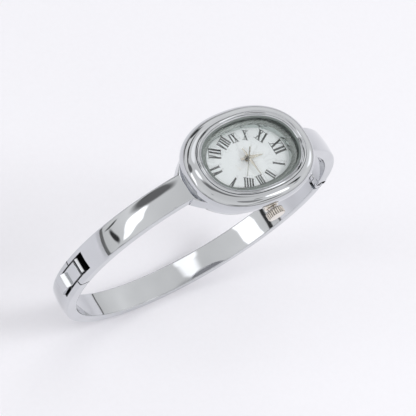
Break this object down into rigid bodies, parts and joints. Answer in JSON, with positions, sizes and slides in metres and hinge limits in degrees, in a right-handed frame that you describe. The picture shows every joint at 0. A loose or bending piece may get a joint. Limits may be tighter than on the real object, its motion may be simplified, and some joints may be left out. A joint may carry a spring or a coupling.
{
  "type": "bangle wristwatch",
  "caption": "Lady's bangle watch: oval case with rounded bezel, white Roman dial, three hands, side crown, rigid arms and a hinged rear half closed by a fold-over clasp.",
  "frame": {"origin": "centre of the wrist opening, on the bangle's oval axis", "axes": "+Z out of the dial, +X towards twelve o'clock, +Y along the wrist towards nine o'clock, away from the crown"},
  "size_m": [0.0632, 0.0218, 0.0576],
  "materials": {
    "polished_chrome": "mirror polished plating",
    "crown_chrome": "polished plating, fluted",
    "brushed_back": "satin",
    "steel_pin": "ground",
    "mineral_glass": "polished",
    "nylon_gasket": "smooth",
    "grey_rehaut": "satin",
    "white_dial": "satin lacquer",
    "black_print": "printed ink",
    "rubber_seal": "moulded",
    "champagne_hands": "polished",
    "movement_plastic": "moulded",
    "holder_plastic": "moulded",
    "bridge_steel": "satin",
    "cell_steel": "drawn",
    "board_green": "lacquered",
    "chip_black": "moulded",
    "copper_wire": "enamelled wire",
    "rotor_magnet": "ground",
    "wheel_brass": "stamped"
  },
  "bodies": {
    "case": {"case_body": "polished_chrome", "bezel": "polished_chrome", "end_link_six": "polished_chrome", "end_link_twelve": "polished_chrome", "arm_six": "polished_chrome", "arm_twelve": "polished_chrome", "crown_tube": "crown_chrome", "case_back": "brushed_back", "hinge_pin": "steel_pin", "catch_bar": "steel_pin", "end_rivet_six": "steel_pin", "end_rivet_twelve": "steel_pin", "crystal": "mineral_glass", "crystal_gasket": "nylon_gasket", "rehaut_ring": "grey_rehaut", "dial": "white_dial", "hour_numerals": "black_print", "case_back_gasket": "rubber_seal", "main_plate": "movement_plastic", "movement_ring": "holder_plastic", "train_bridge": "bridge_steel", "bridge_screw_left": "steel_pin", "bridge_screw_right": "steel_pin", "battery": "cell_steel", "battery_strap": "bridge_steel", "circuit_board": "board_green", "quartz_can": "cell_steel", "control_chip": "chip_black", "coil_core": "bridge_steel", "drive_coil": "copper_wire", "stator": "bridge_steel"},
    "rear": {"rear_half": "polished_chrome", "lever_pin": "steel_pin"},
    "lever": {"clasp_lever": "polished_chrome"},
    "setting": {"pull_piece": "steel_pin"},
    "crown": {"crown": "crown_chrome", "winding_stem": "steel_pin", "clutch_wheel": "steel_pin"},
    "seconds": {"seconds_wheel": "wheel_brass", "second_hand": "champagne_hands"},
    "third": {"third_wheel": "wheel_brass"},
    "minutes": {"centre_wheel": "wheel_brass", "minute_hand": "champagne_hands"},
    "motion": {"minute_wheel": "wheel_brass"},
    "hours": {"hour_wheel": "wheel_brass", "hour_hand": "champagne_hands"},
    "drive": {"drive_wheel": "wheel_brass"},
    "rotor": {"rotor": "rotor_magnet"}
  },
  "joints": [
    {"name": "bangle_hinge", "type": "hinge", "parent": "case", "child": "rear", "pos_m": [0.02972, 0, 0.002], "axis": [0, -1, 0], "range_deg": [0, 50]},
    {"name": "clasp_lever_hinge", "type": "hinge", "parent": "rear", "child": "lever", "pos_m": [-0.03, 0, -0.0005], "axis": [0, -1, 0], "range_deg": [0, 100]},
    {"name": "crown_pull", "type": "slide", "parent": "case", "child": "setting", "axis": [0, -1, 0], "range_m": [0, 0.001]},
    {"name": "crown_turn", "type": "hinge", "parent": "setting", "child": "crown", "pos_m": [0, -0.0111, 0.0246], "axis": [0, -1, 0], "continuous": true},
    {"name": "seconds_turn", "type": "hinge", "parent": "case", "child": "seconds", "pos_m": [0, 0, 0.024], "axis": [0, 0, -1], "continuous": true},
    {"name": "third_turn", "type": "hinge", "parent": "case", "child": "third", "pos_m": [-0.00071, 0.00219, 0.024], "axis": [0, 0, -1], "continuous": true},
    {"name": "minutes_turn", "type": "hinge", "parent": "case", "child": "minutes", "pos_m": [0, 0, 0.024], "axis": [0, 0, -1], "continuous": true},
    {"name": "motion_turn", "type": "hinge", "parent": "case", "child": "motion", "pos_m": [0, -0.0024, 0.024], "axis": [0, 0, -1], "continuous": true},
    {"name": "hours_turn", "type": "hinge", "parent": "case", "child": "hours", "pos_m": [0, 0, 0.024], "axis": [0, 0, -1], "continuous": true},
    {"name": "drive_turn", "type": "hinge", "parent": "case", "child": "drive", "pos_m": [-0.00105, -0.00168, 0.024], "axis": [0, 0, -1], "continuous": true},
    {"name": "rotor_turn", "type": "hinge", "parent": "case", "child": "rotor", "pos_m": [-0.00263, -0.00225, 0.024], "axis": [0, 0, -1], "continuous": true}
  ],
  "couplings": [
    {"joint": "third_turn", "follows": "seconds_turn", "ratio": -0.13333},
    {"joint": "minutes_turn", "follows": "seconds_turn", "ratio": 0.016667},
    {"joint": "motion_turn", "follows": "seconds_turn", "ratio": -0.0055556},
    {"joint": "hours_turn", "follows": "seconds_turn", "ratio": 0.0013889},
    {"joint": "drive_turn", "follows": "seconds_turn", "ratio": -5},
    {"joint": "rotor_turn", "follows": "seconds_turn", "ratio": 30}
  ]
}
